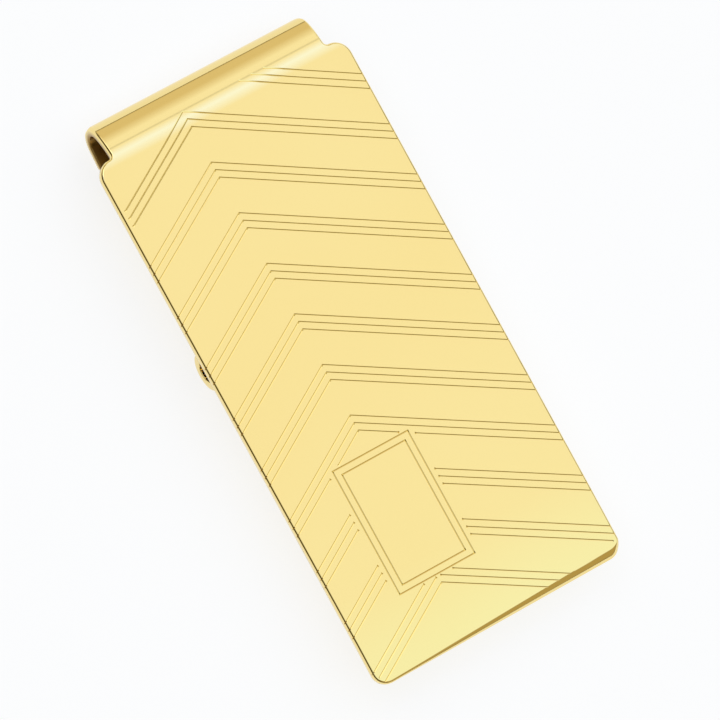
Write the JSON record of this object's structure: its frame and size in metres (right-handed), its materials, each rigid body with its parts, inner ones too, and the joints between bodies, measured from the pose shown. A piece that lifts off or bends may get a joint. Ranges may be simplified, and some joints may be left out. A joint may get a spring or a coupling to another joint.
{
  "type": "money clip",
  "caption": "Slim hinged money clip: an engraved rectangular face plate rolled into a hinge channel, with a sprung rear flap that ends in a rolled lip.",
  "frame": {"origin": "centre of the clip's footprint, on the plane that the rolled lip lies on", "axes": "+X across the clip, +Y along it towards the hinge channel, +Z out of the engraved front face"},
  "size_m": [0.0252, 0.0531, 0.0049],
  "materials": {
    "gold_plate": "yellow gold plate over brass, mirror polished, with fine engraved lines",
    "spring_steel": "bright drawn spring steel",
    "brass": "plain brass, as stamped"
  },
  "bodies": {
    "plate": {"face_plate": "gold_plate", "hinge_pin": "spring_steel", "leaf_spring": "spring_steel", "left_pivot_cheek": "brass", "right_pivot_cheek": "brass"},
    "flap": {"rear_flap": "gold_plate"}
  },
  "joints": [
    {"name": "flap_hinge", "type": "hinge", "parent": "plate", "child": "flap", "pos_m": [0, 0.02295, 0.0025], "axis": [1, 0, 0], "range_deg": [0, 90], "stiffness_Nm_per_rad": 0.02, "springref_deg": -34.38}
  ]
}
